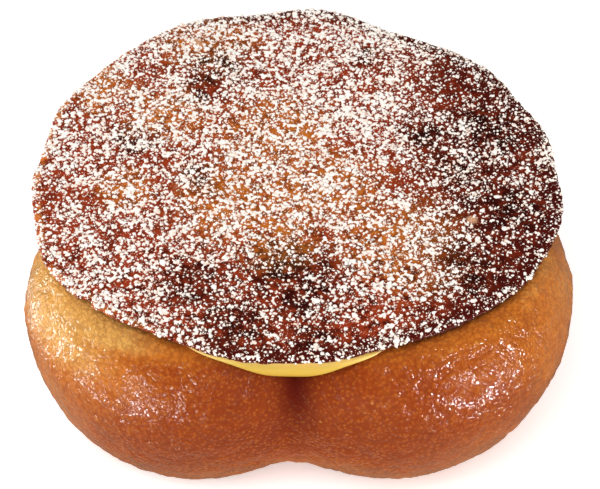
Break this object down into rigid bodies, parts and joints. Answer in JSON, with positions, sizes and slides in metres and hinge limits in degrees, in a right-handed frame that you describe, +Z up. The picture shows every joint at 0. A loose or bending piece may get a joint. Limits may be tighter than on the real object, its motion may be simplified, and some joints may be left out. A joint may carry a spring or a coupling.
{
  "type": "sweet potato doughnut",
  "caption": "Round-lobed fried yeast doughnut with a layer of yellow sweet potato cream under a thin, wavy-edged caramelised crisp disc dusted with powdered sugar.",
  "frame": {"origin": "middle of the footprint, on the flat base", "axes": "+Z up through the cream and the disc; -Y faces the crease between two lobes that the picture shows in front"},
  "size_m": [0.084, 0.083, 0.0352],
  "materials": {
    "fried_dough": "golden brown fried dough with a fine wrinkled skin, paler on top",
    "yellow_cream": "smooth yellow sweet potato cream, softly glossy",
    "caramel": "dark caramelised crisp with white powdered sugar on top"
  },
  "bodies": {
    "root": {"bun": "fried_dough", "cream": "yellow_cream", "caramel_disc": "caramel"}
  },
  "joints": []
}
